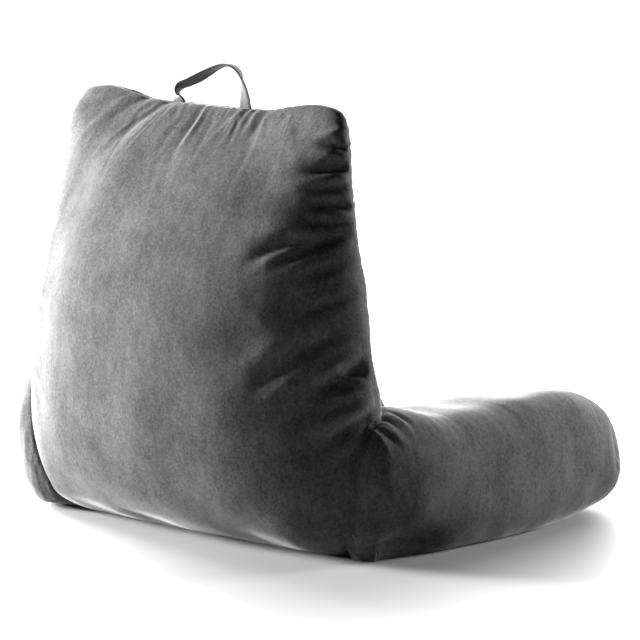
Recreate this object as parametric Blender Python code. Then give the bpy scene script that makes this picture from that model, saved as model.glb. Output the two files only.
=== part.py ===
"""Reading pillow with arms: a filled backrest, two filled arms sewn to it and a strap handle.

Metres, +Z up. The pillow stands on the floor at z = 0. Its back panel faces +Y, the sitter's
side with the arms faces -Y, and it is the same on both sides of X = 0 apart from its creases.
Each filled piece starts as a cube split by a grid, which a table of sections turns into the
rounded form; a second table then raises its folds and draws in its seams.
"""

from collections import namedtuple
from math import cos, exp, hypot, pi, radians, sin

import bmesh
import bpy
from mathutils import Vector

# ---------------------------------------------------------------- backrest
BACK_HEIGHT = 0.447          # floor to the crests of the two top corners
TOP_DIP = 0.012              # the top seam hangs this far between the two corners
CREST_SHARE = 0.55           # part of the half width over which a corner falls to the dip
SEAM_GAP = 0.0009            # between two pieces that are sewn together

# One row for each height, as a share of BACK_HEIGHT. The back panel and the sitter's panel meet
# in the side seam at seam_y; the depths are how far the two bulge behind and in front of it.
BACK_SECTIONS = [
    # share, half_width, seam_y, back_depth, front_depth, back_squareness, front_squareness
    (0.000, 0.186, 0.145, 0.022, 0.135, 3.4, 3.6),
    (0.020, 0.207, 0.149, 0.043, 0.143, 3.3, 3.2),
    (0.060, 0.222, 0.153, 0.072, 0.142, 2.75, 2.8),
    (0.200, 0.238, 0.157, 0.109, 0.118, 2.1, 1.9),
    (0.400, 0.230, 0.159, 0.119, 0.086, 2.05, 1.5),
    (0.600, 0.217, 0.162, 0.107, 0.074, 2.05, 1.5),
    (0.800, 0.204, 0.162, 0.069, 0.056, 2.15, 1.5),
    (0.900, 0.198, 0.160, 0.041, 0.042, 2.4, 1.6),
    (0.960, 0.191, 0.158, 0.019, 0.026, 3.0, 2.0),
    (0.990, 0.178, 0.157, 0.011, 0.014, 3.2, 2.6),
    (1.000, 0.157, 0.156, 0.006, 0.006, 3.2, 3.0),
]
THIN_SHARE = 0.05            # part of the height, under the top seam, too thin for full folds
FACING_BACK = 0.4            # folds are full where the skin's normal has this much of +Y
BACK_STEPS = (48, 10, 48)    # faces along X, Y and Z before the seam's own lines are added
BACK_CROWDING = (0.0, 0.0, 0.45)

# One row for each fold of the back panel, from its pinched end to where it runs out; u is X.
# A fold with a height above 0 is a ridge, one below 0 a crease.
Fold = namedtuple("Fold", "from_u from_z to_u to_z bow width height")
BACK_FOLDS = [
    Fold(0.059, 0.438, 0.123, 0.371, 0.005, 0.009, 0.0045),
    Fold(0.051, 0.436, 0.108, 0.378, 0.004, 0.010, -0.0065),
    Fold(0.086, 0.438, 0.134, 0.384, 0.004, 0.010, -0.0050),
    Fold(0.110, 0.443, 0.143, 0.402, 0.002, 0.009, 0.0035),
    Fold(0.001, 0.424, 0.006, 0.378, -0.002, 0.010, -0.0055),
    Fold(-0.067, 0.438, -0.065, 0.410, 0.000, 0.009, -0.0040),
    Fold(-0.086, 0.437, -0.082, 0.399, 0.000, 0.009, -0.0045),
    Fold(-0.120, 0.442, -0.111, 0.424, 0.000, 0.009, -0.0035),
    Fold(-0.202, 0.386, -0.152, 0.381, 0.000, 0.010, -0.0045),
    Fold(-0.205, 0.350, -0.165, 0.357, 0.000, 0.010, -0.0040),
    Fold(-0.176, 0.318, -0.128, 0.293, 0.003, 0.010, -0.0055),
    Fold(-0.202, 0.322, -0.155, 0.292, 0.000, 0.011, -0.0055),
    Fold(-0.208, 0.225, -0.147, 0.168, 0.000, 0.012, -0.0060),
    Fold(-0.229, 0.194, -0.189, 0.132, 0.005, 0.014, -0.0105),
    Fold(-0.236, 0.166, -0.206, 0.121, 0.002, 0.011, 0.0050),
    Fold(-0.231, 0.143, -0.194, 0.099, 0.002, 0.012, -0.0060),
    Fold(0.186, 0.237, 0.137, 0.214, 0.000, 0.011, -0.0035),
    Fold(0.192, 0.156, 0.150, 0.116, 0.000, 0.012, -0.0050),
]

# ---------------------------------------------------------------- arms
ARM_REAR_Y = 0.188
ARM_FRONT_Y = -0.238
# One row for each place along an arm, as a share of the way from its rear to its front.
ARM_SECTIONS = [
    # share, centre_x, half_width, bottom_z, top_z, foot_squareness, inner_squareness
    (0.000, 0.216, 0.024, 0.026, 0.108, 2.8, 2.6),
    (0.020, 0.214, 0.039, 0.010, 0.130, 2.7, 2.6),
    (0.060, 0.211, 0.052, -0.001, 0.145, 2.6, 2.6),
    (0.150, 0.206, 0.067, -0.004, 0.148, 2.4, 2.8),
    (0.300, 0.199, 0.071, -0.006, 0.137, 2.4, 3.4),
    (0.500, 0.196, 0.069, -0.007, 0.136, 2.5, 3.8),
    (0.700, 0.188, 0.066, -0.007, 0.137, 2.5, 3.8),
    (0.850, 0.178, 0.062, -0.003, 0.127, 2.3, 2.9),
    (0.940, 0.169, 0.053, 0.005, 0.105, 2.2, 2.5),
    (0.985, 0.162, 0.041, 0.017, 0.080, 2.2, 2.3),
    (1.000, 0.158, 0.026, 0.030, 0.063, 2.2, 2.2),
]
ARM_OUTER_SQUARENESS = 2.2   # of an arm's upper outer quarter, the roundest of the four
ARM_END_DOME = 0.003         # how far the middle of an arm's end stands out past its rim
ARM_STEPS = (8, 26, 8)
ARM_CROWDING = (0.0, 0.5, 0.0)
# The gathers on the outside of the arms, where they are sewn to the backrest; here u is Y.
ARM_FOLDS = [
    Fold(0.172, 0.140, 0.150, 0.108, 0.000, 0.008, -0.0040),
    Fold(0.150, 0.148, 0.132, 0.120, 0.000, 0.008, -0.0035),
    Fold(0.118, 0.150, 0.104, 0.126, 0.000, 0.009, -0.0040),
]
FACING_OUT = 0.4             # the gathers are full where the normal has this much of X
# Where the filling stands out further or less on one side, as a push of the skin outwards.
Swell = namedtuple("Swell", "x y z radius push")
ARM_SWELLS = [
    Swell(0.240, 0.170, 0.020, 0.045, 0.008),
    Swell(0.252, 0.172, 0.120, 0.055, 0.017),
    Swell(-0.245, 0.145, 0.005, 0.055, -0.020),
    Swell(-0.232, -0.205, 0.040, 0.030, 0.007),
    Swell(0.232, -0.205, 0.040, 0.030, 0.005),
]

# ---------------------------------------------------------------- seams
SEAM_LIP = 0.032             # half the width of a seam's groove, in the cube's own measure
SEAM_DEPTH = 0.0022

# ---------------------------------------------------------------- strap handle
STRAP_WIDTH = 0.020
STRAP_THICKNESS = 0.0026
STRAP_Y = 0.156
# One row for each place along the strap, from its left end to its right. The twist turns the
# strap's width from across the loop's plane (0) into it (90 or -90), as it lies where it is sewn.
STRAP_PATH = [
    # share, x, z, twist_deg
    (0.00, 0.045, 0.424, 92),
    (0.07, 0.047, 0.436, 82),
    (0.14, 0.047, 0.445, 30),
    (0.21, 0.040, 0.452, -10),
    (0.31, 0.025, 0.458, -14),
    (0.41, 0.010, 0.465, -10),
    (0.52, -0.008, 0.473, -2),
    (0.62, -0.023, 0.476, -8),
    (0.72, -0.037, 0.471, -26),
    (0.82, -0.044, 0.459, -50),
    (0.91, -0.047, 0.445, -72),
    (1.00, -0.048, 0.424, -88),
]
STRAP_STEPS = (4, 30, 1)

# ---------------------------------------------------------------- cloth
Cloth = namedtuple("Cloth", "red green blue roughness")
CHARCOAL_VELOUR = Cloth(0.060, 0.060, 0.062, 0.92)
STRAP_VELOUR = Cloth(0.068, 0.068, 0.070, 0.90)


def blended(rows, share):
    """The columns of a table at a share of its length, on a smooth curve through its rows."""
    last = len(rows) - 1
    share = min(max(share, 0.0), 1.0)
    index = next(i for i in range(last) if share <= rows[i + 1][0])
    start, end = rows[index], rows[index + 1]
    before, after = rows[max(index - 1, 0)], rows[min(index + 2, last)]
    span = end[0] - start[0]
    t = (share - start[0]) / span
    values = []
    for column in range(1, len(start)):
        slope_in = (end[column] - before[column]) / (end[0] - before[0])
        slope_out = (after[column] - start[column]) / (after[0] - start[0])
        values.append(
            start[column] * (2 * t**3 - 3 * t**2 + 1)
            + end[column] * (3 * t**2 - 2 * t**3)
            + slope_in * span * (t**3 - 2 * t**2 + t)
            + slope_out * span * (t**3 - t**2)
        )
    return values


def rounded(u, v, squareness):
    """A point of the square from -1 to 1, drawn in to a disc with soft corners."""
    reach = max(abs(u), abs(v))
    if reach == 0:
        return 0.0, 0.0
    size = (abs(u / reach) ** squareness + abs(v / reach) ** squareness) ** (1 / squareness)
    return u / size, v / size


def spread(u, v, flatness, side_faces):
    """Moves a point round its square ring, so that the faces are even round a flat rectangle.

    The rectangle's height is the share flatness of its width; side_faces is how many faces the
    ring has from v = 0 to its corner, as a share of those along its wide side.
    """
    reach = max(abs(u), abs(v))
    if reach == 0:
        return u, v
    side = 1 if v >= 0 else -1
    u, v = u / reach, abs(v) / reach
    corner = 2 * side_faces
    if v >= 1 - 1e-9:
        walked = corner + 1 - u
    else:
        walked = corner * v if u > 0 else 2 * corner + 2 - corner * v
    walked *= (1 + flatness) / (1 + corner)
    if walked < flatness:
        u, v = 1.0, walked / flatness
    elif walked <= flatness + 2:
        u, v = 1 + flatness - walked, 1.0
    else:
        u, v = -1.0, (2 + 2 * flatness - walked) / flatness
    return u * reach, v * reach * side


def eased(t):
    """0 below t = 0, 1 above t = 1 and a smooth step between."""
    t = min(max(t, 0.0), 1.0)
    return t * t * (3 - 2 * t)


def grid_stops(steps, crowding, seams=()):
    """Where the grid cuts the cube along one axis: gathered at both ends, with a seam's lips."""
    stops = []
    for step in range(1, steps):
        t = step / steps
        stop = 2 * (t - crowding * sin(2 * pi * t) / (2 * pi)) - 1
        if all(abs(stop - seam) > SEAM_LIP for seam in seams):
            stops.append(stop)
    for seam in seams:
        stops += [seam - SEAM_LIP, seam, seam + SEAM_LIP]
    return stops


def grid_cube(name, stops_by_axis, coarse_front=False):
    """A cube from -1 to 1 cut by a plane at each of the stops along X, Y and Z.

    With a coarse front, every second plane along X and Z cuts only the half behind y = 0.
    """
    mesh = bmesh.new()
    bmesh.ops.create_cube(mesh, size=2)
    for axis in (1, 0, 2):
        normal = [float(axis == other) for other in range(3)]
        for number, stop in enumerate(stops_by_axis[axis]):
            faces = mesh.faces[:]
            if coarse_front and axis != 1 and number % 2:
                faces = [face for face in faces if face.calc_center_median().y > 0]
            edges = {edge for face in faces for edge in face.edges}
            verts = {vert for face in faces for vert in face.verts}
            bmesh.ops.bisect_plane(
                mesh,
                geom=[*verts, *edges, *faces],
                plane_co=[stop * share for share in normal],
                plane_no=normal,
                dist=1e-6,
            )
    data = bpy.data.meshes.new(name)
    mesh.to_mesh(data)
    mesh.free()
    return bpy.data.objects.new(name, data)


def backrest_point(cube_point):
    """Where a point of the cube lies on the backrest."""
    share = (cube_point.z + 1) / 2
    half_width, seam_y, back_depth, front_depth, *squareness = blended(BACK_SECTIONS, share)
    is_front = cube_point.y < 0
    bulge = front_depth if is_front else back_depth
    side_faces = BACK_STEPS[1] / BACK_STEPS[0] * (1 if is_front else 0.5)
    even_point = spread(cube_point.x, cube_point.y, bulge / half_width, side_faces)
    across, depth = rounded(*even_point, squareness[is_front])
    x = across * half_width
    y = seam_y + depth * bulge
    z = share * BACK_HEIGHT - TOP_DIP * share**6 * eased((1 - abs(across)) / CREST_SHARE)
    return Vector((x, y, z))


def backrest_relief(cube_point, place, normal):
    """How far folds and side seams raise or draw in the backrest at a place of its skin."""
    share = (cube_point.z + 1) / 2
    room = eased((1 - share) / THIN_SHARE) * eased(normal.y / FACING_BACK)
    relief = 0.0
    if room > 0:
        relief = room * sum(fold_height(fold, place.x, place.z) for fold in BACK_FOLDS)
    if abs(cube_point.x) > 1 - 1e-6 and abs(cube_point.y) < 1e-6:
        relief -= SEAM_DEPTH * eased((1 - share) / (2 * THIN_SHARE))
    return relief


def arm_point(cube_point):
    """Where a point of the cube lies on the left arm, which is on the +X side."""
    share = (1 - cube_point.y) / 2
    centre_x, half_width, bottom_z, top_z, *squareness = blended(ARM_SECTIONS, share)
    if cube_point.z > 0 and cube_point.x > 0:
        squareness[1] = ARM_OUTER_SQUARENESS
    across, up = rounded(cube_point.x, cube_point.z, squareness[cube_point.z > 0])
    x = centre_x + across * half_width
    y = ARM_REAR_Y + (ARM_FRONT_Y - ARM_REAR_Y) * share
    if abs(cube_point.y) > 1 - 1e-6:
        y += ARM_END_DOME * (1 - across**2 - up**2) * cube_point.y
    z = (bottom_z + top_z) / 2 + up * (top_z - bottom_z) / 2
    return Vector((x, y, max(z, 0.0)))


def mirrored_arm_point(cube_point):
    """Where a point of the cube lies on the right arm."""
    x, y, z = arm_point(Vector((-cube_point.x, cube_point.y, cube_point.z)))
    return Vector((-x, y, z))


def arm_relief(_, place, normal):
    """How far gathers and swells raise or draw in an arm at a place of its skin."""
    relief = 0.0
    if normal.x * place.x > 0:
        relief = sum(fold_height(fold, place.y, place.z) for fold in ARM_FOLDS)
        relief *= eased(abs(normal.x) / FACING_OUT)
    for swell in ARM_SWELLS:
        away = (place - Vector(swell[:3])).length / swell.radius
        relief += swell.push * exp(-away * away)
    return relief


def strap_point(cube_point):
    """Where a point of the cube lies on the strap: X is its width, Y its length, Z its face."""
    share = (cube_point.y + 1) / 2
    x, z, twist = blended(STRAP_PATH, share)
    ahead = blended(STRAP_PATH, min(share + 0.01, 1.0))
    behind = blended(STRAP_PATH, max(share - 0.01, 0.0))
    along = Vector((ahead[0] - behind[0], 0, ahead[1] - behind[1])).normalized()
    across_loop = Vector((0, -1, 0))
    outward = along.cross(across_loop)
    width_axis = across_loop * cos(radians(twist)) + outward * sin(radians(twist))
    face_axis = width_axis.cross(along)
    centre = Vector((x, STRAP_Y, z))
    return (
        centre
        + width_axis * cube_point.x * STRAP_WIDTH / 2
        + face_axis * cube_point.z * STRAP_THICKNESS / 2
    )


def fold_height(fold, u, z):
    """How far a fold raises the cloth at a place of the panel."""
    run_u, run_z = fold.to_u - fold.from_u, fold.to_z - fold.from_z
    length = hypot(run_u, run_z)
    along = ((u - fold.from_u) * run_u + (z - fold.from_z) * run_z) / length**2
    if not -0.15 < along < 1:
        return 0.0
    aside = ((z - fold.from_z) * run_u - (u - fold.from_u) * run_z) / length
    aside -= fold.bow * sin(pi * min(max(along, 0.0), 1.0))
    fade = eased((along + 0.15) / 0.2) * eased((1 - along) / 0.6)
    away = aside / fold.width
    return fold.height * fade * (exp(-away * away) - 0.35 * exp(-((abs(away) - 1.9) ** 2)))


def shape_piece(obj, place, relief=None):
    """Turns the cube into a piece, then raises its folds and draws in its seams."""
    vertices = obj.data.vertices
    cube_points = [vertex.co.copy() for vertex in vertices]
    for vertex, cube_point in zip(vertices, cube_points):
        vertex.co = place(cube_point)
    if relief is None:
        return
    obj.data.update()
    normals = [vertex.normal.copy() for vertex in vertices]
    for vertex, cube_point, normal in zip(vertices, cube_points, normals):
        if vertex.co.z > 0:
            vertex.co += normal * relief(cube_point, vertex.co, normal)
            vertex.co.z = max(vertex.co.z, 0.0)


def triangulate(obj):
    """Splits every face into triangles, so that a copy of the piece has the same skin."""
    mesh = bmesh.new()
    mesh.from_mesh(obj.data)
    bmesh.ops.triangulate(mesh, faces=mesh.faces[:])
    mesh.to_mesh(obj.data)
    mesh.free()


def velour(name, cloth):
    """A plain pile cloth of one colour."""
    material = bpy.data.materials.new(name)
    material.use_nodes = True
    shader = material.node_tree.nodes["Principled BSDF"]
    shader.inputs["Base Color"].default_value = (cloth.red, cloth.green, cloth.blue, 1.0)
    shader.inputs["Roughness"].default_value = cloth.roughness
    shader.inputs["Metallic"].default_value = 0.0
    return material


def add_piece(collection, obj, material):
    """Puts a finished piece into its collection, shaded smooth and in its cloth."""
    obj.data.materials.append(material)
    obj.data.shade_smooth()
    collection.objects.link(obj)


def cut_clear(obj, cutter):
    """Cuts a piece back to where it is sewn on to the backrest."""
    cut = obj.modifiers.new("sewn_to_backrest", "BOOLEAN")
    cut.operation = "DIFFERENCE"
    cut.solver = "EXACT"
    cut.object = cutter


def grown_copy(obj, name, distance):
    """A copy of a piece with its skin moved out by a distance."""
    copy = bpy.data.objects.new(name, obj.data.copy())
    normals = [vertex.normal.copy() for vertex in copy.data.vertices]
    for vertex, normal in zip(copy.data.vertices, normals):
        vertex.co += normal * distance
    copy.hide_render = True
    copy.display_type = "WIRE"
    return copy


def centre_on_floor(objects):
    """Moves the objects together, so that X = Y = 0 is under the middle of their box."""
    corners = [vertex.co for obj in objects for vertex in obj.data.vertices]
    for axis in (0, 1):
        values = [corner[axis] for corner in corners]
        middle = (min(values) + max(values)) / 2
        for obj in objects:
            obj.location[axis] = -middle


def new_collection(name):
    collection = bpy.data.collections.new(name)
    bpy.context.scene.collection.children.link(collection)
    return collection


def main():
    for obj in list(bpy.data.objects):
        bpy.data.objects.remove(obj)
    pieces = new_collection("reading_pillow")
    cutters = new_collection("reading_pillow_cutters")

    back_stops = [
        grid_stops(steps, crowding, seams)
        for steps, crowding, seams in zip(BACK_STEPS, BACK_CROWDING, ((), (0.0,), ()))
    ]
    backrest = grid_cube("backrest", back_stops, coarse_front=True)
    shape_piece(backrest, backrest_point, backrest_relief)
    triangulate(backrest)
    add_piece(pieces, backrest, velour("backrest_velour", CHARCOAL_VELOUR))

    seam_cutter = grown_copy(backrest, "seam_cutter", SEAM_GAP)
    cutters.objects.link(seam_cutter)

    arm_stops = [
        grid_stops(steps, crowding) for steps, crowding in zip(ARM_STEPS, ARM_CROWDING)
    ]
    for name, place in (("arm_left", arm_point), ("arm_right", mirrored_arm_point)):
        arm = grid_cube(name, arm_stops)
        shape_piece(arm, place, arm_relief)
        add_piece(pieces, arm, velour(name + "_velour", CHARCOAL_VELOUR))
        cut_clear(arm, seam_cutter)

    strap_stops = [grid_stops(steps, 0.0) for steps in STRAP_STEPS]
    handle = grid_cube("handle", strap_stops)
    shape_piece(handle, strap_point)
    add_piece(pieces, handle, velour("handle_velour", STRAP_VELOUR))
    cut_clear(handle, seam_cutter)

    centre_on_floor([*pieces.objects, seam_cutter])


main()
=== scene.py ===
"""Looks of the reading pillow: its filled, sewn velour pieces, its strap, the studio and the camera.

Metres, +Z up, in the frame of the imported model. The back panel faces +Y, the arms reach towards -Y
and +X is on the sitter's left. Each filled piece starts as a gridded cube, which tables of sections
turn into its form; simulated cloth then swells it, and its seams, gathers and folds are drawn in.
"""

from __future__ import annotations

import logging
import math
from collections.abc import Sequence
from dataclasses import dataclass, field
from enum import Enum
from typing import NamedTuple

import bmesh
import bpy
import numpy as np
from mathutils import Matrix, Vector
from mathutils.bvhtree import BVHTree
from mathutils.kdtree import KDTree


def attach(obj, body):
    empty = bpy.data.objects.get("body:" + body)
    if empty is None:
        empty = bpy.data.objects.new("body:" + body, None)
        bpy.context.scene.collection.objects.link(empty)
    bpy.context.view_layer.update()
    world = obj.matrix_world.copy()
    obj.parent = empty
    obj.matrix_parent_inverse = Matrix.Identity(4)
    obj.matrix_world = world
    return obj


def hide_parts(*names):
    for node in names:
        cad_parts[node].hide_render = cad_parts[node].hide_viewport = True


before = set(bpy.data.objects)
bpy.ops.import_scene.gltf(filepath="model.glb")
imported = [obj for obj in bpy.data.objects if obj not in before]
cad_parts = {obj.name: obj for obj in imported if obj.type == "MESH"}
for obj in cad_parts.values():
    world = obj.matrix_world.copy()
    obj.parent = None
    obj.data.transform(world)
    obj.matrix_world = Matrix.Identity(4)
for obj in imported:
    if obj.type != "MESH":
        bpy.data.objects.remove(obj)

logging.basicConfig(level=logging.INFO, format="%(name)s: %(message)s")
LOG = logging.getLogger("reading_pillow")

MM = 0.001
# The tables below are laid out from the middle of the back panel's foot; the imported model's origin
# is under the middle of its whole box, which is this far from there.
FRAME_SHIFT = Vector((-0.00323, -0.01898, 0.0))
# A gridded cube's points this close to a face of it lie on that face.
SEAM_EDGE = 1e-4
# Cloth this close to a seam or to the floor is held there.
HELD_WITHIN = 0.004


class Side(Enum):
    """The sitter's side that an arm is on, as the sign of its X."""

    LEFT = 1
    RIGHT = -1


class Wall(Enum):
    """The arm's side panels: the one that faces outwards and the one that faces the sitter."""

    OUTER = 1
    INNER = -1


# ---------------------------------------------------------------- tables
class BackSection(NamedTuple):
    """A level cut through the backrest, at a share of its height."""

    share: float
    half_width: float
    seam_y: float
    back_depth: float
    front_depth: float
    back_squareness: float
    front_squareness: float


class ArmSection(NamedTuple):
    """An upright cut through an arm, at a share of the way from its rear to its front."""

    share: float
    centre_x: float
    half_width: float
    bottom_z: float
    top_z: float
    foot_squareness: float
    inner_squareness: float


class StrapStation(NamedTuple):
    """A place along the strap; the twist turns its width out of the loop's plane."""

    share: float
    x: float
    z: float
    twist_deg: float


class Fold(NamedTuple):
    """A ridge (height above 0) or crease (below 0) from its pinched end to where it runs out.

    On the back panel u is X, on an arm's outer side it is Y. Edge is how sharp its crest is, and
    skew how much wider it falls off on its upper side than on its lower one.
    """

    from_u: float
    from_z: float
    to_u: float
    to_z: float
    bow: float
    width: float
    height: float
    edge: float = 2.0
    skew: float = 1.0


class Fan(NamedTuple):
    """Fine folds that spread from a pinched place; 0 degrees is +u and 90 degrees is up."""

    u: float
    z: float
    first_deg: float
    last_deg: float
    count: int
    near: float
    length: float
    width: float
    height: float
    seed: int

    def folds(self) -> list[Fold]:
        """Lays out the fan's folds, each a little different in length, bow and height."""
        random = np.random.default_rng(self.seed)
        folds = []
        for number in range(self.count):
            step = (number + random.uniform(0.25, 0.75)) / self.count
            angle = math.radians(self.first_deg + (self.last_deg - self.first_deg) * step)
            start = self.near * random.uniform(0.7, 1.3)
            end = start + self.length * random.uniform(0.55, 1.15)
            folds.append(
                Fold(
                    self.u + math.cos(angle) * start,
                    self.z + math.sin(angle) * start,
                    self.u + math.cos(angle) * end,
                    self.z + math.sin(angle) * end,
                    random.uniform(-0.05, 0.05) * self.length,
                    self.width * random.uniform(0.75, 1.3),
                    self.height * random.uniform(0.6, 1.1),
                    1.4,
                    random.uniform(0.8, 1.8),
                )
            )
        return folds


class Swell(NamedTuple):
    """Where the filling stands out further (or less) than the sections say."""

    x: float
    y: float
    z: float
    radius: float
    push: float


BACK_SECTIONS = (
    BackSection(0.000, 0.186, 0.145, 0.022, 0.135, 3.4, 3.6),
    BackSection(0.020, 0.207, 0.149, 0.043, 0.143, 3.3, 3.2),
    BackSection(0.060, 0.222, 0.153, 0.072, 0.142, 2.75, 2.8),
    BackSection(0.200, 0.238, 0.157, 0.109, 0.118, 2.1, 1.9),
    BackSection(0.400, 0.230, 0.159, 0.119, 0.086, 2.05, 1.5),
    BackSection(0.600, 0.217, 0.162, 0.107, 0.074, 2.05, 1.5),
    BackSection(0.800, 0.204, 0.162, 0.069, 0.056, 2.15, 1.5),
    BackSection(0.900, 0.198, 0.160, 0.041, 0.042, 2.4, 1.6),
    BackSection(0.960, 0.191, 0.158, 0.019, 0.026, 3.0, 2.0),
    BackSection(0.990, 0.178, 0.157, 0.011, 0.014, 3.2, 2.6),
    BackSection(1.000, 0.157, 0.156, 0.006, 0.006, 3.2, 3.0),
)

BACK_FOLDS = (
    # the fan under the top left corner, from the strap's root
    Fold(0.054, 0.440, 0.128, 0.368, 0.005, 0.0045, 0.0015, 1.3, 2.4),
    Fold(0.048, 0.438, 0.112, 0.384, 0.004, 0.0100, -0.0018, 1.6),
    Fold(0.060, 0.442, 0.128, 0.392, 0.004, 0.0040, 0.0008, 1.3, 1.8),
    Fold(0.080, 0.442, 0.138, 0.402, 0.003, 0.0045, -0.0010, 1.3),
    Fold(0.070, 0.444, 0.146, 0.414, 0.003, 0.0035, 0.0008, 1.3, 1.6),
    Fold(0.100, 0.446, 0.150, 0.420, 0.002, 0.0040, -0.0008, 1.3),
    # under the strap
    Fold(0.004, 0.430, 0.010, 0.368, -0.003, 0.0050, -0.0018, 1.2, 2.2),
    Fold(-0.002, 0.430, 0.000, 0.384, -0.002, 0.0050, 0.0008, 1.4, 0.8),
    Fold(-0.058, 0.440, -0.054, 0.404, 0.000, 0.0045, -0.0012, 1.3),
    Fold(-0.067, 0.440, -0.065, 0.406, 0.000, 0.0045, -0.0014, 1.3),
    Fold(-0.086, 0.439, -0.082, 0.396, 0.001, 0.0050, -0.0016, 1.3, 1.6),
    Fold(-0.120, 0.444, -0.109, 0.420, 0.000, 0.0045, -0.0011, 1.3),
    # pulled in from the right side seam
    Fold(-0.204, 0.404, -0.166, 0.410, 0.002, 0.0060, -0.0048, 1.4),
    Fold(-0.204, 0.388, -0.148, 0.380, 0.000, 0.0060, -0.0064, 1.3, 1.8),
    Fold(-0.206, 0.368, -0.160, 0.366, 0.001, 0.0050, -0.0048, 1.3, 1.5),
    Fold(-0.207, 0.350, -0.168, 0.357, 0.000, 0.0060, -0.0056, 1.4, 1.6),
    Fold(-0.206, 0.334, -0.172, 0.336, 0.001, 0.0050, -0.0042, 1.4),
    Fold(-0.178, 0.319, -0.124, 0.291, 0.003, 0.0060, -0.0074, 1.2, 2.0),
    Fold(-0.204, 0.323, -0.150, 0.289, 0.000, 0.0065, -0.0074, 1.3, 1.7),
    Fold(-0.208, 0.296, -0.172, 0.276, 0.000, 0.0060, -0.0038, 1.4),
    Fold(-0.212, 0.262, -0.178, 0.244, 0.000, 0.0060, -0.0038, 1.4),
    Fold(-0.210, 0.227, -0.140, 0.163, 0.000, 0.0075, -0.0080, 1.2, 1.8),
    # round the notch above the right arm
    Fold(-0.232, 0.198, -0.184, 0.126, 0.005, 0.0090, -0.0115, 1.2, 1.5),
    Fold(-0.222, 0.208, -0.190, 0.160, 0.004, 0.0050, 0.0035, 1.3),
    Fold(-0.238, 0.168, -0.202, 0.116, 0.002, 0.0080, 0.0059, 1.5),
    Fold(-0.233, 0.145, -0.188, 0.092, 0.002, 0.0075, -0.0068, 1.2, 1.5),
    Fold(-0.236, 0.120, -0.204, 0.076, 0.002, 0.0065, -0.0035, 1.3),
    # on the left edge
    Fold(0.190, 0.240, 0.134, 0.212, 0.000, 0.0070, -0.0031, 1.3),
    Fold(0.200, 0.212, 0.160, 0.192, 0.000, 0.0060, -0.0020, 1.3),
    Fold(0.216, 0.180, 0.176, 0.126, 0.002, 0.0080, -0.0040, 1.3, 1.5),
    Fold(0.192, 0.156, 0.150, 0.114, 0.000, 0.0080, -0.0031, 1.3),
)
BACK_FANS = (
    Fan(0.047, 0.437, -62.0, -22.0, 7, 0.010, 0.070, 0.0030, 0.0006, 11),
    Fan(-0.050, 0.437, -125.0, -60.0, 7, 0.008, 0.034, 0.0028, 0.0009, 12),
    Fan(-0.204, 0.425, -60.0, 10.0, 7, 0.012, 0.050, 0.0034, 0.0018, 13),
    Fan(-0.238, 0.168, -62.0, 66.0, 11, 0.008, 0.062, 0.0034, 0.0022, 14),
    Fan(0.238, 0.168, 114.0, 242.0, 9, 0.008, 0.048, 0.0034, 0.0013, 15),
    Fan(0.196, 0.425, 170.0, 240.0, 6, 0.012, 0.036, 0.0034, 0.0010, 16),
)
ARM_FOLDS = (
    Fold(0.166, 0.142, 0.152, 0.112, 0.000, 0.0045, -0.0026, 1.3),
    Fold(0.150, 0.146, 0.140, 0.124, 0.000, 0.0040, -0.0020, 1.3, 1.5),
    Fold(0.132, 0.147, 0.124, 0.130, 0.000, 0.0040, -0.0018, 1.3),
)
ARM_FANS = (
    Fan(0.172, 0.146, -85.0, -150.0, 6, 0.008, 0.036, 0.0030, 0.0010, 21),
    Fan(-0.214, 0.040, 40.0, 150.0, 6, 0.010, 0.034, 0.0032, 0.0009, 22),
)
ARM_SWELLS = (
    Swell(0.240, 0.170, 0.020, 0.045, 0.008),
    Swell(0.252, 0.176, 0.120, 0.055, 0.015),
    Swell(-0.245, 0.145, 0.005, 0.055, -0.020),
    Swell(-0.232, -0.205, 0.040, 0.030, 0.007),
    Swell(0.232, -0.205, 0.040, 0.030, 0.005),
)

ARM_SECTIONS = (
    ArmSection(0.000, 0.216, 0.024, 0.026, 0.108, 2.8, 2.6),
    ArmSection(0.020, 0.214, 0.039, 0.010, 0.130, 2.7, 2.6),
    ArmSection(0.060, 0.211, 0.052, -0.001, 0.145, 2.6, 2.6),
    ArmSection(0.150, 0.206, 0.067, -0.004, 0.148, 2.4, 2.8),
    ArmSection(0.300, 0.199, 0.071, -0.006, 0.137, 2.4, 3.4),
    ArmSection(0.500, 0.196, 0.069, -0.007, 0.136, 2.5, 3.8),
    ArmSection(0.700, 0.188, 0.066, -0.007, 0.137, 2.5, 3.8),
    ArmSection(0.850, 0.178, 0.062, -0.003, 0.127, 2.3, 2.9),
    ArmSection(0.940, 0.169, 0.053, 0.005, 0.105, 2.2, 2.5),
    ArmSection(0.985, 0.162, 0.041, 0.017, 0.080, 2.2, 2.3),
    ArmSection(1.000, 0.158, 0.026, 0.030, 0.063, 2.2, 2.2),
)

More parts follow.
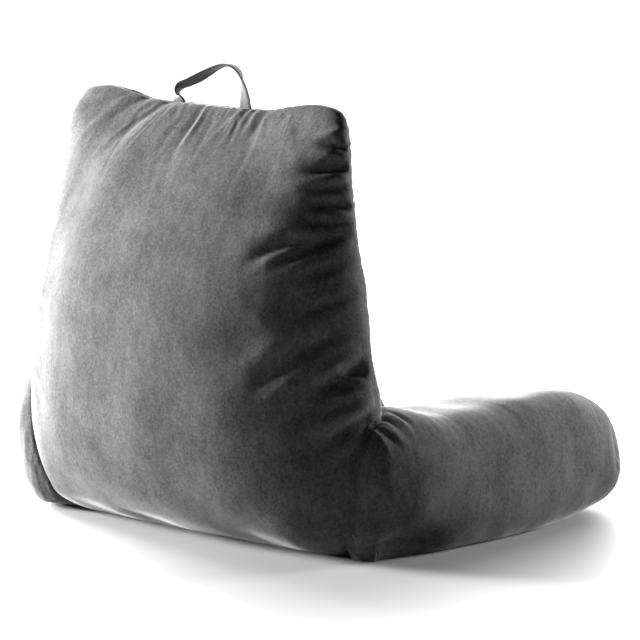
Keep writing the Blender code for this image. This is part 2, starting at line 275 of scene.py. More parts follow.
# The left arm's rear is filled out further back than the right one's, flush with the back panel.
LEFT_ARM_SECTIONS = (
    ArmSection(0.000, 0.200, 0.020, 0.040, 0.100, 2.6, 2.6),
    ArmSection(0.020, 0.203, 0.031, 0.022, 0.122, 2.6, 2.6),
    ArmSection(0.060, 0.206, 0.044, 0.008, 0.139, 2.6, 2.6),
    ArmSection(0.120, 0.207, 0.058, -0.001, 0.147, 2.5, 2.7),
    ArmSection(0.190, 0.206, 0.067, -0.004, 0.148, 2.4, 2.9),
    ArmSection(0.330, 0.199, 0.071, -0.006, 0.137, 2.4, 3.4),
    ArmSection(0.520, 0.196, 0.069, -0.007, 0.136, 2.5, 3.8),
    ArmSection(0.710, 0.188, 0.066, -0.007, 0.137, 2.5, 3.8),
    ArmSection(0.855, 0.178, 0.062, -0.003, 0.127, 2.3, 2.9),
    ArmSection(0.943, 0.169, 0.053, 0.005, 0.105, 2.2, 2.5),
    ArmSection(0.986, 0.162, 0.041, 0.017, 0.080, 2.2, 2.3),
    ArmSection(1.000, 0.158, 0.026, 0.030, 0.063, 2.2, 2.2),
)

STRAP_PATH = (
    StrapStation(0.00, 0.045, 0.424, 92),
    StrapStation(0.07, 0.047, 0.436, 82),
    StrapStation(0.14, 0.047, 0.445, 30),
    StrapStation(0.21, 0.040, 0.452, -10),
    StrapStation(0.31, 0.025, 0.458, -14),
    StrapStation(0.41, 0.010, 0.465, -10),
    StrapStation(0.52, -0.008, 0.473, -2),
    StrapStation(0.62, -0.023, 0.476, -8),
    StrapStation(0.72, -0.037, 0.471, -26),
    StrapStation(0.82, -0.044, 0.459, -50),
    StrapStation(0.91, -0.047, 0.445, -72),
    StrapStation(1.00, -0.048, 0.424, -88),
)


class SmoothTable:
    """Rows of named columns, read at any share of their length on a smooth curve."""

    def __init__(self, rows: Sequence[tuple[float, ...]]) -> None:
        """Works out the slope of each column at each row.

        Args:
            rows: Rows whose first column is the share, rising from 0 to 1.
        """
        table = np.array(rows, float)
        self.keys = table[:, 0]
        self.values = table[:, 1:]
        last = len(table) - 1
        before = np.maximum(np.arange(last + 1) - 1, 0)
        after = np.minimum(np.arange(last + 1) + 1, last)
        run = (self.keys[after] - self.keys[before])[:, None]
        self.slopes = (self.values[after] - self.values[before]) / run

    def at(self, share: np.ndarray) -> np.ndarray:
        """Reads the table.

        Args:
            share: Where to read it, one value for each point.

        Returns:
            One row for each column of the table but the first, one column for each point.
        """
        share = np.clip(share, 0.0, 1.0)
        index = np.clip(np.searchsorted(self.keys, share, side="right") - 1, 0, len(self.keys) - 2)
        span = (self.keys[index + 1] - self.keys[index])[:, None]
        t = (share - self.keys[index])[:, None] / span
        return (
            self.values[index] * (2 * t**3 - 3 * t**2 + 1)
            + self.values[index + 1] * (3 * t**2 - 2 * t**3)
            + self.slopes[index] * span * (t**3 - 2 * t**2 + t)
            + self.slopes[index + 1] * span * (t**3 - t**2)
        ).T


# ---------------------------------------------------------------- small helpers
def eased(t: np.ndarray) -> np.ndarray:
    """0 below t = 0, 1 above t = 1 and a smooth step between."""
    t = np.clip(t, 0.0, 1.0)
    return t * t * (3 - 2 * t)


def rounded(u: np.ndarray, v: np.ndarray, squareness: np.ndarray) -> tuple[np.ndarray, np.ndarray]:
    """Draws the points of the square from -1 to 1 in to a disc with soft corners.

    Args:
        u: Across the square.
        v: Up the square.
        squareness: The exponent of the disc's outline, 2 for a circle and more for a squarer one.

    Returns:
        The drawn-in points, across and up.
    """
    reach = np.maximum(np.maximum(abs(u), abs(v)), 1e-9)
    size = (abs(u / reach) ** squareness + abs(v / reach) ** squareness) ** (1 / squareness)
    size = np.maximum(size, 1e-9)
    return u / size, v / size


def spread(
    u: np.ndarray, v: np.ndarray, flatness: np.ndarray, side_faces: np.ndarray
) -> tuple[np.ndarray, np.ndarray]:
    """Moves points round their square rings, so that faces are even round a flat rectangle.

    Args:
        u: Across the square.
        v: Up the square.
        flatness: The rectangle's height as a share of its width.
        side_faces: Faces from v = 0 to a corner, as a share of those along the wide side.

    Returns:
        The moved points, across and up.
    """
    reach = np.maximum(np.maximum(abs(u), abs(v)), 1e-9)
    sign = np.where(v >= 0, 1.0, -1.0)
    across, up = u / reach, abs(v) / reach
    corner = 2 * side_faces
    on_side = np.where(across > 0, corner * up, 2 * corner + 2 - corner * up)
    walked = np.where(up >= 1 - 1e-9, corner + 1 - across, on_side)
    walked = walked * (1 + flatness) / (1 + corner)
    first, second = walked < flatness, walked <= flatness + 2
    far_up = (2 + 2 * flatness - walked) / flatness
    new_up = np.where(first, walked / flatness, np.where(second, 1.0, far_up))
    new_across = np.where(first, 1.0, np.where(second, 1 + flatness - walked, -1.0))
    return new_across * reach, new_up * reach * sign


def positions(obj: bpy.types.Object) -> np.ndarray:
    """The places of a mesh's vertices, one row each."""
    flat = np.empty(len(obj.data.vertices) * 3, np.float32)
    obj.data.vertices.foreach_get("co", flat)
    return flat.reshape(-1, 3).astype(float)


def place(obj: bpy.types.Object, points: np.ndarray) -> None:
    """Moves a mesh's vertices to new places, one row each."""
    obj.data.vertices.foreach_set("co", points.astype(np.float32).ravel())
    obj.data.update()


def normals(obj: bpy.types.Object) -> np.ndarray:
    """The normals of a mesh's vertices, one row each."""
    flat = np.empty(len(obj.data.vertices) * 3, np.float32)
    obj.data.vertex_normals.foreach_get("vector", flat)
    return flat.reshape(-1, 3).astype(float)


def modifier_input(modifier: bpy.types.NodesModifier, name: str, value: object) -> None:
    """Sets a Geometry Nodes modifier's input by its socket's identifier.

    Args:
        modifier: The modifier, whose tree has the input.
        name: The input's name in the tree.
        value: The value or object to give it.
    """
    socket = next(
        item
        for item in modifier.node_group.interface.items_tree
        if item.item_type == "SOCKET" and item.in_out == "INPUT" and item.name == name
    )
    modifier[socket.identifier] = value


def as_mesh(obj: bpy.types.Object, name: str) -> bpy.types.Object:
    """Turns an object and its modifiers into a new plain mesh object, and removes the old one.

    Args:
        obj: The object to read.
        name: The new object's name.

    Returns:
        The new object, at the origin.
    """
    graph = bpy.context.evaluated_depsgraph_get()
    data = bpy.data.meshes.new_from_object(
        obj.evaluated_get(graph), preserve_all_data_layers=True, depsgraph=graph
    )
    bpy.data.objects.remove(obj)
    mesh_object = bpy.data.objects.new(name, data)
    bpy.context.scene.collection.objects.link(mesh_object)
    return mesh_object


def dress(obj: bpy.types.Object, material: bpy.types.Material) -> None:
    """Gives a mesh its one material and smooth shading."""
    obj.data.materials.clear()
    obj.data.materials.append(material)
    obj.data.shade_smooth()


# ---------------------------------------------------------------- node trees
class NodeBuilder:
    """Adds nodes to a tree with their settings and links in one call each."""

    def __init__(self, tree: bpy.types.NodeTree) -> None:
        """Starts on an empty tree.

        Args:
            tree: The tree to fill.
        """
        self.tree = tree
        tree.nodes.clear()

    def add(
        self,
        kind: str,
        settings: dict[str, object] | None = None,
        **inputs: object,
    ) -> bpy.types.Node:
        """Adds a node.

        Args:
            kind: The node's type name.
            settings: The node's own properties.
            **inputs: Values or sockets to feed in; an input is named by its name in lower case,
                with _ for spaces, or by i and its number.

        Returns:
            The node.
        """
        node = self.tree.nodes.new(kind)
        for name, value in (settings or {}).items():
            setattr(node, name, value)
        for name, value in inputs.items():
            socket = self._input(node, name)
            if isinstance(value, bpy.types.NodeSocket):
                self.tree.links.new(value, socket)
            else:
                socket.default_value = value
        return node

    @staticmethod
    def _input(node: bpy.types.Node, name: str) -> bpy.types.NodeSocket:
        """Finds a node's input by its plain name, or by i and its number."""
        if name[0] == "i" and name[1:].isdigit():
            return node.inputs[int(name[1:])]
        wanted = name.replace("_", " ")
        return next(s for s in node.inputs if s.enabled and s.name.lower() == wanted)


def geometry_tree(name: str, inputs: dict[str, str]) -> bpy.types.NodeTree:
    """Makes a Geometry Nodes tree with named inputs and one geometry output.

    Args:
        name: The tree's name.
        inputs: Each input's name and its kind.

    Returns:
        The tree, with no nodes yet.
    """
    tree = bpy.data.node_groups.new(name, "GeometryNodeTree")
    for label, kind in inputs.items():
        tree.interface.new_socket(label, in_out="INPUT", socket_type="NodeSocket" + kind)
    tree.interface.new_socket("Geometry", in_out="OUTPUT", socket_type="NodeSocketGeometry")
    return tree


def cube_grid_tree() -> bpy.types.NodeTree:
    """The Geometry Nodes tree of the gridded cube that a filled piece starts from."""
    tree = geometry_tree("cube_grid", {"Faces " + axis: "Int" for axis in "XYZ"})
    build = NodeBuilder(tree)
    counts = build.add("NodeGroupInput")
    lines = [
        build.add("ShaderNodeMath", {"operation": "ADD"}, i0=counts.outputs["Faces " + axis], i1=1.0)
        for axis in "XYZ"
    ]
    cube = build.add(
        "GeometryNodeMeshCube",
        size=(2.0, 2.0, 2.0),
        vertices_x=lines[0].outputs[0],
        vertices_y=lines[1].outputs[0],
        vertices_z=lines[2].outputs[0],
    )
    build.add("NodeGroupOutput", i0=cube.outputs["Mesh"])
    return tree


def gridded_cube(name: str, faces: tuple[int, int, int]) -> bpy.types.Object:
    """Makes the closed cube from -1 to 1 with a grid of faces on each side.

    Args:
        name: The object's name.
        faces: How many faces it has along X, Y and Z.

    Returns:
        The cube, a plain mesh.
    """
    seed = bpy.data.objects.new(name + "_seed", bpy.data.meshes.new(name + "_seed"))
    bpy.context.scene.collection.objects.link(seed)
    modifier = seed.modifiers.new("cube_grid", "NODES")
    modifier.node_group = cube_grid_tree()
    for axis, count in zip("XYZ", faces):
        modifier_input(modifier, "Faces " + axis, count)
    cube = as_mesh(seed, name)
    for attribute in [a for a in cube.data.attributes if a.name.startswith("UV")]:
        cube.data.attributes.remove(attribute)
    return cube


def stitch_row_tree() -> bpy.types.NodeTree:
    """The Geometry Nodes tree that lays one stitch after another along each line of a mesh."""
    sizes = {size: "Float" for size in ("Pitch", "Stitch Length", "Thread Radius")}
    tree = geometry_tree("stitch_row", {"Lines": "Geometry", **sizes, "Thread": "Material"})
    build = NodeBuilder(tree)
    given = build.add("NodeGroupInput")
    line = build.add("GeometryNodeMeshToCurve", mesh=given.outputs["Lines"])
    points = build.add(
        "GeometryNodeResampleCurve",
        {"mode": "LENGTH"},
        curve=line.outputs[0],
        length=given.outputs["Pitch"],
    )
    stitch = build.add(
        "GeometryNodeMeshCylinder",
        vertices=6,
        radius=given.outputs["Thread Radius"],
        depth=given.outputs["Stitch Length"],
    )
    ahead = build.add("GeometryNodeInputTangent")
    turn = build.add("FunctionNodeAlignRotationToVector", {"axis": "Z"}, vector=ahead.outputs[0])
    row = build.add(
        "GeometryNodeInstanceOnPoints",
        points=points.outputs[0],
        instance=stitch.outputs["Mesh"],
        rotation=turn.outputs[0],
    )
    sewn = build.add("GeometryNodeRealizeInstances", geometry=row.outputs[0])
    dressed = build.add(
        "GeometryNodeSetMaterial", geometry=sewn.outputs[0], material=given.outputs["Thread"]
    )
    build.add("NodeGroupOutput", i0=dressed.outputs[0])
    return tree


# ---------------------------------------------------------------- finishes
def linear(hex_colour: str) -> tuple[float, float, float, float]:
    """The linear colour of an sRGB hex value such as 8a8a8c."""
    channels = [int(hex_colour[i : i + 2], 16) / 255 for i in (0, 2, 4)]
    lit = [c / 12.92 if c <= 0.04045 else ((c + 0.055) / 1.055) ** 2.4 for c in channels]
    return (*lit, 1.0)


def two_tones(
    build: NodeBuilder, mix: bpy.types.NodeSocket, low: float, dark: str, high: float, light: str
) -> bpy.types.NodeSocket:
    """Adds a ramp from a dark colour to a light one.

    Args:
        build: The material's tree.
        mix: The number to read the ramp by.
        low: Where the dark colour ends.
        dark: The dark colour, in hex.
        high: Where the light colour starts.
        light: The light colour, in hex.

    Returns:
        The ramp's colour.
    """
    ramp = build.add("ShaderNodeValToRGB", fac=mix)
    for end, place_on_ramp, colour in zip(ramp.color_ramp.elements, (low, high), (dark, light)):
        end.position = place_on_ramp
        end.color = linear(colour)
    return ramp.outputs[0]


@dataclass(frozen=True)
class PolyesterVelour:
    """Short-pile polyester velour, brushed and steam set: dull, with a soft sheen at its rims.

    The pile leans in patches, which the eye sees as a cloudy mottle of lighter and darker grey.
    """

    name: str = "charcoal_polyester_velour"
    dark: str = "222222"
    light: str = "4a4a4a"
    roughness: float = 0.92
    sheen: float = 0.28
    sheen_roughness: float = 0.30
    sheen_tint: str = "d8d8d8"
    patch_mm: float = 42.0
    brush_mm: float = 9.0
    tuft_mm: float = 2.6
    pile_height_mm: float = 0.35

    def material(self) -> bpy.types.Material:
        """Builds the node material."""
        material = bpy.data.materials.new(self.name)
        material.use_nodes = True
        build = NodeBuilder(material.node_tree)
        where = build.add("ShaderNodeTexCoord").outputs["Object"]
        patches = build.add(
            "ShaderNodeTexNoise", vector=where, scale=1 / (self.patch_mm * MM), detail=3.0, roughness=0.6
        )
        lean = build.add("ShaderNodeMapping", vector=where, rotation=(0.5, 0.3, 0.7), scale=(1.0, 1.0, 0.45))
        brush = build.add(
            "ShaderNodeTexNoise",
            vector=lean.outputs[0],
            scale=1 / (self.brush_mm * MM),
            detail=4.0,
            roughness=0.65,
        )
        tufts = build.add(
            "ShaderNodeTexNoise", vector=where, scale=1 / (self.tuft_mm * MM), detail=2.0, roughness=0.6
        )
        coarse = build.add(
            "ShaderNodeMix",
            {"data_type": "FLOAT"},
            factor=0.5,
            i2=patches.outputs["Fac"],
            i3=brush.outputs["Fac"],
        )
        mottle = build.add(
            "ShaderNodeMix",
            {"data_type": "FLOAT"},
            factor=0.42,
            i2=coarse.outputs[0],
            i3=tufts.outputs["Fac"],
        )
        colour = two_tones(build, mottle.outputs[0], 0.36, self.dark, 0.64, self.light)
        pile = build.add(
            "ShaderNodeBump",
            strength=0.8,
            distance=self.pile_height_mm * MM,
            height=mottle.outputs[0],
        )
        shader = build.add(
            "ShaderNodeBsdfPrincipled",
            base_color=colour,
            roughness=self.roughness,
            sheen_weight=self.sheen,
            sheen_roughness=self.sheen_roughness,
            sheen_tint=linear(self.sheen_tint),
            specular_ior_level=0.25,
            normal=pile.outputs[0],
        )
        build.add("ShaderNodeOutputMaterial", i0=shader.outputs[0])
        return material


@dataclass(frozen=True)
class PolyesterThread:
    """Spun polyester sewing thread, whose fine plies show as light and dark flecks."""

    name: str = "charcoal_polyester_thread"
    dark: str = "1e1e1e"
    light: str = "4a4a4a"
    roughness: float = 0.7
    ply_mm: float = 0.5

    def material(self) -> bpy.types.Material:
        """Builds the node material."""
        material = bpy.data.materials.new(self.name)
        material.use_nodes = True
        build = NodeBuilder(material.node_tree)
        where = build.add("ShaderNodeTexCoord").outputs["Object"]
        plies = build.add(
            "ShaderNodeTexNoise", vector=where, scale=1 / (self.ply_mm * MM), detail=1.0, roughness=0.5
        )
        colour = two_tones(build, plies.outputs["Fac"], 0.35, self.dark, 0.65, self.light)
        shader = build.add("ShaderNodeBsdfPrincipled", base_color=colour, roughness=self.roughness)
        build.add("ShaderNodeOutputMaterial", i0=shader.outputs[0])
        return material


# ---------------------------------------------------------------- relief
def fold_relief(folds: Sequence[Fold], u: np.ndarray, z: np.ndarray) -> np.ndarray:
    """How far a list of folds raises the cloth.

    Args:
        folds: The folds.
        u: Each point's place across the panel.
        z: Each point's height.

    Returns:
        The relief at each point, in metres.
    """
    relief = np.zeros(len(u))
    for fold in folds:
        run_u, run_z = fold.to_u - fold.from_u, fold.to_z - fold.from_z
        length = math.hypot(run_u, run_z)
        along = ((u - fold.from_u) * run_u + (z - fold.from_z) * run_z) / length**2
        aside = ((z - fold.from_z) * run_u - (u - fold.from_u) * run_z) / length
        aside = aside - fold.bow * np.sin(np.pi * np.clip(along, 0, 1))
        upper = aside * np.sign(run_u) > 0
        fade = eased((along + 0.2) / 0.35) * eased((1 - along) / 0.75)
        away = abs(aside) / (fold.width * (0.6 + 0.4 * np.clip(along, 0, 1)))
        away = away / np.where(upper, fold.skew, 1.0)
        shape = np.exp(-(away**fold.edge)) - 0.3 * np.exp(-((away - 1.9) ** 2))
        relief += fold.height * fade * shape
    return relief


def waves(along: np.ndarray, spacing: float, seed: int, count: int = 6) -> np.ndarray:
    """An uneven ripple from about -1 to 1, as gathered cloth has along its seam.

    Args:
        along: Each point's place along the seam, in metres.
        spacing: The usual distance from one crest to the next.
        seed: Which ripple of its kind.
        count: How many plain waves it is mixed from.

    Returns:
        The ripple at each point.
    """
    random = np.random.default_rng(seed)
    total = np.zeros(len(along))
    for _ in range(count):
        length = spacing * random.uniform(0.7, 1.7)
        total += np.sin(2 * np.pi * along / length + random.uniform(0, 2 * np.pi))
    return total / math.sqrt(count)


def lumps(points: np.ndarray, spacing: float, seed: int, count: int = 14) -> np.ndarray:
    """Soft uneven swellings from about -1 to 1, as loose filling makes under its cover."""
    random = np.random.default_rng(seed)
    total = np.zeros(len(points))
    for _ in range(count):
        way = random.normal(size=3)
        way /= np.linalg.norm(way) * spacing * random.uniform(0.8, 1.6)
        total += np.sin(2 * np.pi * points @ way + random.uniform(0, 2 * np.pi))
    return total / math.sqrt(count)


@dataclass(frozen=True)
class SeamLine:
    """A sewn seam, as a dense run of places along it."""

    places: np.ndarray
    along: np.ndarray

    @classmethod
    def through(cls, points: np.ndarray, closed: bool = False) -> "SeamLine":
        """Draws a seam through points in their order.

        Args:
            points: The places, one row each.
            closed: Whether it returns to its first point.

        Returns:
            The seam, with a place about every millimetre.
        """
        if closed:
            points = np.vstack([points, points[:1]])
        steps = np.linalg.norm(np.diff(points, axis=0), axis=1)
        reach = np.concatenate([[0.0], np.cumsum(steps)])
        along = np.arange(0.0, reach[-1], MM)
        return cls(np.stack([np.interp(along, reach, column) for column in points.T], 1), along)

    def nearest(self, points: np.ndarray, limit: float) -> tuple[np.ndarray, np.ndarray]:
        """Finds each point's distance from the seam and its place along it.

        Args:
            points: The points, one row each.
            limit: Distances past this are not worked out, and read as far off.

        Returns:
            The distance and the place along the seam, for each point.
        """
        tree = KDTree(len(self.places))
        for index, spot in enumerate(self.places):
            tree.insert(spot, index)
        tree.balance()
        low, high = self.places.min(0) - limit, self.places.max(0) + limit
        distance, along = np.full(len(points), 1.0), np.zeros(len(points))
        for row in np.flatnonzero(((points > low) & (points < high)).all(1)):
            _, index, gap = tree.find(points[row])
            distance[row], along[row] = gap, self.along[index]
        return distance, along


@dataclass(frozen=True)
class SeamLook:
    """How a seam draws its cloth in: a narrow groove, and gathers that run out square to it."""

    groove: float = 0.0012
    groove_width: float = 0.0022
    draw: float = 0.0016
    draw_width: float = 0.010
    gather: float = 0.0011
    gather_reach: float = 0.016
    spacing: float = 0.011
    seed: int = 1

    def relief(self, distance: np.ndarray, along: np.ndarray) -> np.ndarray:
        """How far the seam raises the cloth at each point, from its place beside the seam."""
        bunched = 0.35 + 0.65 * eased(0.5 + 0.7 * waves(along, 0.09, self.seed + 50, 3))
        slant = 0.25 * distance * waves(along, 0.05, self.seed + 70, 3)
        ripple = waves(along + slant, self.spacing, self.seed)
        fade = np.exp(-distance / self.gather_reach) * eased(distance / 0.003)
        return (
            self.gather * bunched * ripple * fade
            - self.groove * np.exp(-((distance / self.groove_width) ** 2))
            - self.draw * np.exp(-((distance / self.draw_width) ** 2))
        )


@dataclass(frozen=True)
class Joint:
    """How two pieces that are sewn together draw in where their skins meet."""

    depth: float = 0.0022
    width: float = 0.0020
    hollow: float = 0.0010
    hollow_width: float = 0.007
    reach: float = 0.04

    def relief(self, points: np.ndarray, others: Sequence[BVHTree]) -> np.ndarray:
        """How far the skin is raised at each point by its nearness to the other pieces' skins."""
        relief = np.zeros(len(points))
        for other in others:
            for row, point in enumerate(points):
                _, _, _, gap = other.find_nearest(Vector(point), self.reach)
                if gap is not None:
                    relief[row] -= self.depth * math.exp(-((gap / self.width) ** 2))
                    relief[row] -= self.hollow * math.exp(-((gap / self.hollow_width) ** 2))
        return relief


# ---------------------------------------------------------------- cloth
@dataclass(frozen=True)
class ClothSwell:
    """Simulated cloth, a little too big for its filling, that wrinkles where it is sewn down."""

    pressure: float = 4.0
    slack: float = 0.045
    frames: int = 20
    quality: int = 5
    mass: float = 0.25
    stiffness: float = 10.0
    bending: float = 0.15
    smoothing: int = 70
    cap: float = 0.0022

    def wrinkles(self, obj: bpy.types.Object, held: np.ndarray) -> np.ndarray:
        """Swells a copy of a piece and reads the wrinkles that it takes.

        Args:
            obj: The piece, laid out.
            held: Whether each vertex is sewn or weighed down.

        Returns:
            How far each vertex moves, without the general swelling that its form has already.
        """
        copy = bpy.data.objects.new(obj.name + "_cloth", obj.data.copy())
        bpy.context.scene.collection.objects.link(copy)
        group = copy.vertex_groups.new(name="held")
        group.add(np.flatnonzero(held).tolist(), 1.0, "REPLACE")
        cloth = copy.modifiers.new("cloth", "CLOTH")
        cloth.settings.quality = self.quality
        cloth.settings.mass = self.mass
        cloth.settings.tension_stiffness = self.stiffness
        cloth.settings.compression_stiffness = self.stiffness
        cloth.settings.shear_stiffness = self.stiffness / 2
        cloth.settings.bending_stiffness = self.bending
        cloth.settings.shrink_min = -self.slack
        cloth.settings.use_pressure = True
        cloth.settings.uniform_pressure_force = self.pressure
        cloth.settings.vertex_group_mass = group.name
        cloth.settings.effector_weights.gravity = 0.0
        cloth.collision_settings.use_collision = False
        cloth.point_cache.frame_start = 1
        cloth.point_cache.frame_end = self.frames
        for number in range(1, self.frames + 1):
            bpy.context.scene.frame_set(number)
        before = positions(obj)
        swollen = as_mesh(copy, obj.name + "_swollen")
        moved = positions(swollen) - before
        bpy.data.objects.remove(swollen)
        bpy.context.scene.frame_set(1)
        wrinkles = moved - self._smoothed(obj, moved)
        size = np.linalg.norm(wrinkles, axis=1)[:, None]
        return wrinkles * self.cap * np.tanh(size / self.cap) / np.maximum(size, 1e-9)

    def _smoothed(self, obj: bpy.types.Object, values: np.ndarray) -> np.ndarray:
        """Values after they are evened out between neighbouring vertices."""
        ends = np.empty(len(obj.data.edges) * 2, np.int32)
        obj.data.edges.foreach_get("vertices", ends)
        first, second = ends.reshape(-1, 2).T
        count = len(values)
        number = np.bincount(first, minlength=count) + np.bincount(second, minlength=count)
        for _ in range(self.smoothing):
            columns = [
                np.bincount(first, column[second], count) + np.bincount(second, column[first], count)
                for column in values.T
            ]
            values = 0.5 * values + 0.5 * np.stack(columns, 1) / number[:, None]
        return values


# ---------------------------------------------------------------- pieces
@dataclass
class FilledPiece:
    """A filled and sewn piece of cloth."""

    name: str
    node: str
    slot: str
    fill: float
    faces: tuple[int, int, int]
    cloth: ClothSwell = field(default_factory=ClothSwell)
    joint: Joint = Joint()
    obj: bpy.types.Object = field(init=False, default=None)

    def surface(self, cube: np.ndarray) -> np.ndarray:
        """Where points of the gridded cube lie on the piece, one row each."""
        raise NotImplementedError

    def skin(self) -> BVHTree:
        """The piece's present skin, to measure distances from."""
        faces = [face.vertices for face in self.obj.data.polygons]
        return BVHTree.FromPolygons(positions(self.obj).tolist(), faces)

    def lay_out(self) -> None:
        """Makes the gridded cube and turns it into the piece's plain form."""
        self.obj = gridded_cube(self.name, self.faces)
        place(self.obj, self.surface(positions(self.obj)) + np.array(FRAME_SHIFT))

    def wrinkle(self, held: np.ndarray, strength: np.ndarray) -> None:
        """Args:
            held: Whether each vertex is sewn or weighed down.
            strength: How much of the wrinkles each vertex takes.
        """
        points = positions(self.obj)
        points += self.cloth.wrinkles(self.obj, held) * strength[:, None]
        points[:, 2] = np.maximum(points[:, 2], 0.0)
        place(self.obj, points)

    def subdivide(self) -> None:
        """Halves the grid's spacing on a smooth surface."""
        modifier = self.obj.modifiers.new("subdivide", "SUBSURF")
        modifier.levels = 1
        modifier.render_levels = 1
        self.obj = as_mesh(self.obj, self.name)

    def raise_by(self, relief: np.ndarray) -> None:
        """Moves the skin out along its normals by a relief, but keeps it on the floor."""
        points = positions(self.obj)
        free = eased(points[:, 2] / HELD_WITHIN)
        points += normals(self.obj) * (relief * free)[:, None]
        points[:, 2] = np.maximum(points[:, 2], 0.0)
        place(self.obj, points)

    def finish(self, material: bpy.types.Material) -> None:
        """Dresses the piece and ties it to the frame.

        Args:
            material: The piece's cloth.
        """
        self.obj.name = self.name
        dress(self.obj, material)
        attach(self.obj, "root")
        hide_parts(self.node)
        LOG.info("%s: %d vertices", self.name, len(self.obj.data.vertices))


@dataclass
class Backrest(FilledPiece):
    """The tall body: a back panel and a sitter's panel, sewn up both sides and over the top."""

    height: float = 0.447
    top_dip: float = 0.012
    crest_share: float = 0.55
    sections: SmoothTable = field(default_factory=lambda: SmoothTable(BACK_SECTIONS))
    facing_back: float = 0.3
    thin_share: float = 0.02
    lump_height: float = 0.0011
    lump_spacing: float = 0.075
    seam_look: SeamLook = SeamLook(seed=3, gather=0.0008, draw=0.0010)

    def surface(self, cube: np.ndarray) -> np.ndarray:
        """Where points of the gridded cube lie on the backrest, one row each."""
        share = (cube[:, 2] + 1) / 2
        share = share - 0.45 * np.sin(2 * np.pi * share) / (2 * np.pi)
        columns = self.sections.at(share)
        half_width, seam_y, back_depth, front_depth, back_square, front_square = columns
        is_front = cube[:, 1] < 0
        bulge = np.where(is_front, front_depth, back_depth)
        side_faces = self.faces[1] / self.faces[0]
        u, v = spread(cube[:, 0], cube[:, 1], bulge / half_width, np.full(len(cube), side_faces))
        across, depth = rounded(u, v, np.where(is_front, front_square, back_square))
        x = across * half_width
        y = seam_y + depth * bulge
        dip = self.top_dip * share**6 * eased((1 - abs(across)) / self.crest_share)
        z = share * self.height - dip
        return np.stack([x, y, z], 1)

    def side_seam(self) -> SeamLine:
        """The seam up one side, over the top and down the other."""
        rise = np.linspace(-1.0, 1.0, 260)
        over = np.linspace(1.0, -1.0, 200)
        level, side, top = np.zeros(len(rise)), np.ones(len(rise)), np.ones(len(over))
        left = np.stack([side, level, rise], 1)
        crest = np.stack([over, np.zeros(len(over)), top], 1)
        right = np.stack([-side, level, -rise], 1)
        cube = np.vstack([left, crest, right])
        return SeamLine.through(self.surface(cube) + np.array(FRAME_SHIFT))

    def draw_folds(self, others: Sequence[BVHTree]) -> None:
        """Raises the folds of the back panel and draws in its seams.

        Args:
            others: The skins of the pieces that are sewn to this one.
        """
        points = positions(self.obj)
        facing = normals(self.obj)
        share = points[:, 2] / self.height
        room = eased((1 - share) / self.thin_share) * eased(facing[:, 1] / self.facing_back)
        u = points[:, 0] - FRAME_SHIFT.x
        folds = [*BACK_FOLDS, *(fold for fan in BACK_FANS for fold in fan.folds())]
        relief = room * fold_relief(folds, u, points[:, 2])
        filled = self.lump_height * lumps(points, self.lump_spacing, 5)
        relief += filled * eased((1 - share) / 0.1)
        distance, along = self.side_seam().nearest(points, 0.08)
        relief += self.seam_look.relief(distance, along) * (0.4 + 0.6 * eased((1 - share) / 0.08))
        relief += self.joint.relief(points, others)
        self.raise_by(relief)

    def shape(self) -> None:
        """Lays the backrest out and wrinkles its cloth."""
        self.lay_out()
        points = positions(self.obj)
        distance, _ = self.side_seam().nearest(points, 0.12)
        held = (distance < HELD_WITHIN) | (points[:, 2] < HELD_WITHIN)
        share = points[:, 2] / self.height
        calm = (0.25 + 0.75 * eased(share / 0.35)) * (0.4 + 0.6 * eased((1 - share) / 0.12))
        self.wrinkle(held, calm * (0.25 + 0.5 * np.exp(-distance / 0.04)))
        self.subdivide()


